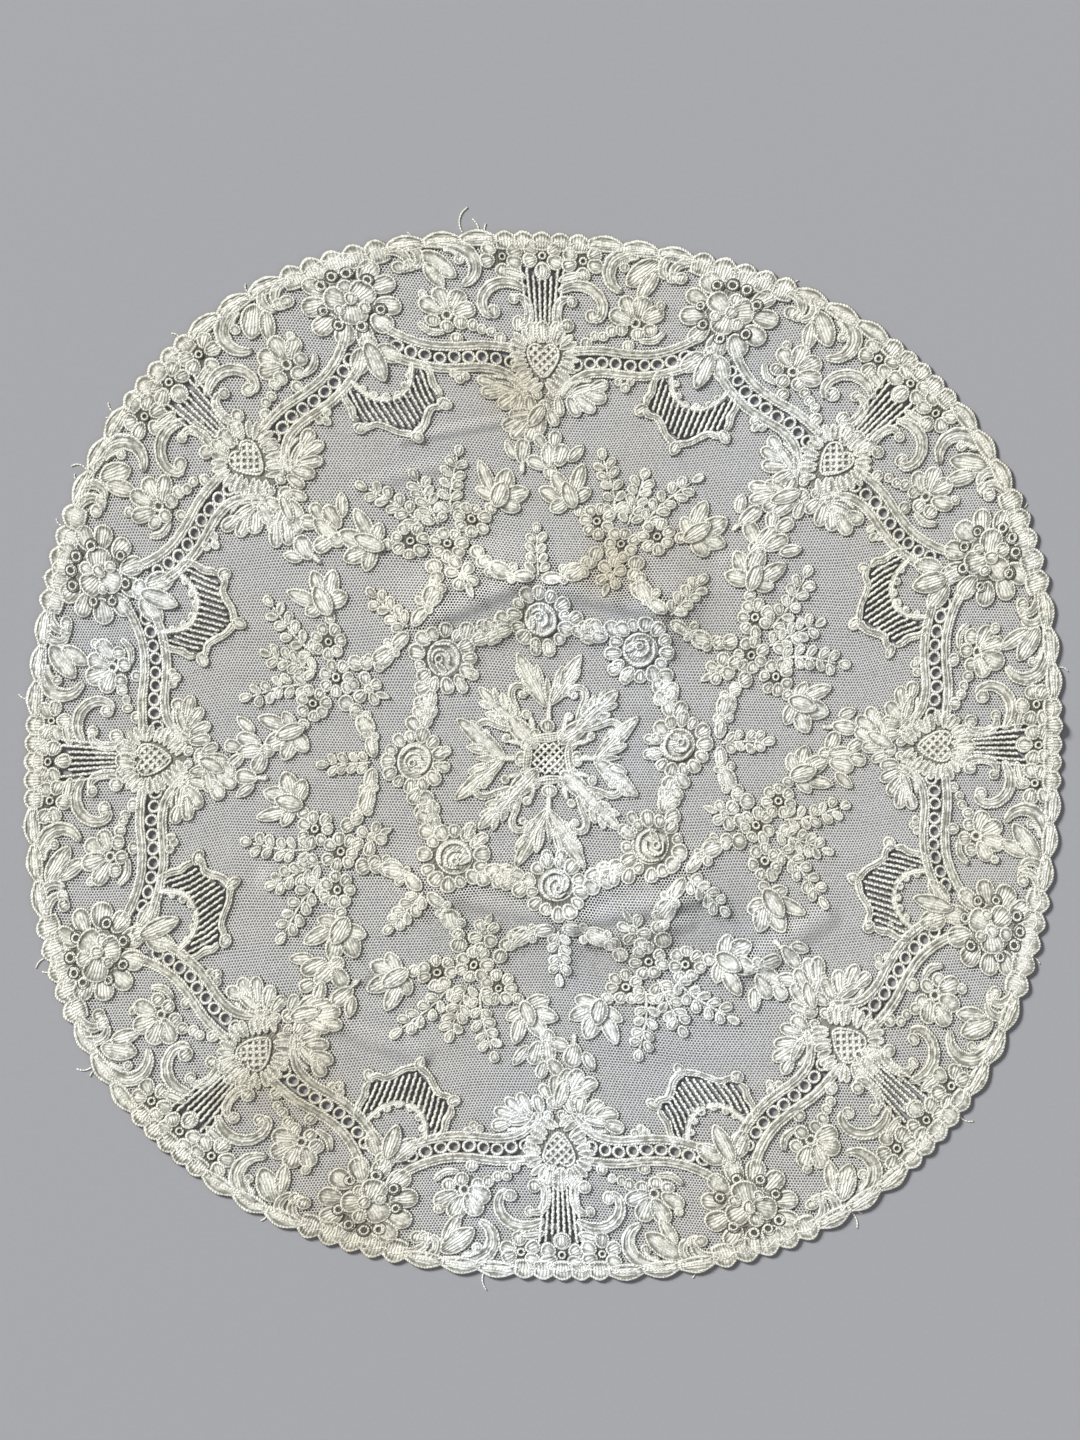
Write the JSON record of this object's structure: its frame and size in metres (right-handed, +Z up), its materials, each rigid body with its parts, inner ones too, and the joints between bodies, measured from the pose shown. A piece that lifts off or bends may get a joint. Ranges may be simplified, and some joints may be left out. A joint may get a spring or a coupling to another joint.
{
  "type": "round lace mat",
  "caption": "Round ivory net mat with raised corded flower embroidery and a scalloped edge, laid nearly flat to sit under a vase, plate or lamp.",
  "frame": {"origin": "middle of the mat's outline box, on the surface that it lies on", "axes": "+Z up from the surface, +Y towards the top of the pictured pattern"},
  "size_m": [0.3292, 0.3332, 0.0043],
  "materials": {
    "lace": "matt ivory cotton thread"
  },
  "bodies": {
    "root": {"lace_mat": "lace"}
  },
  "joints": []
}
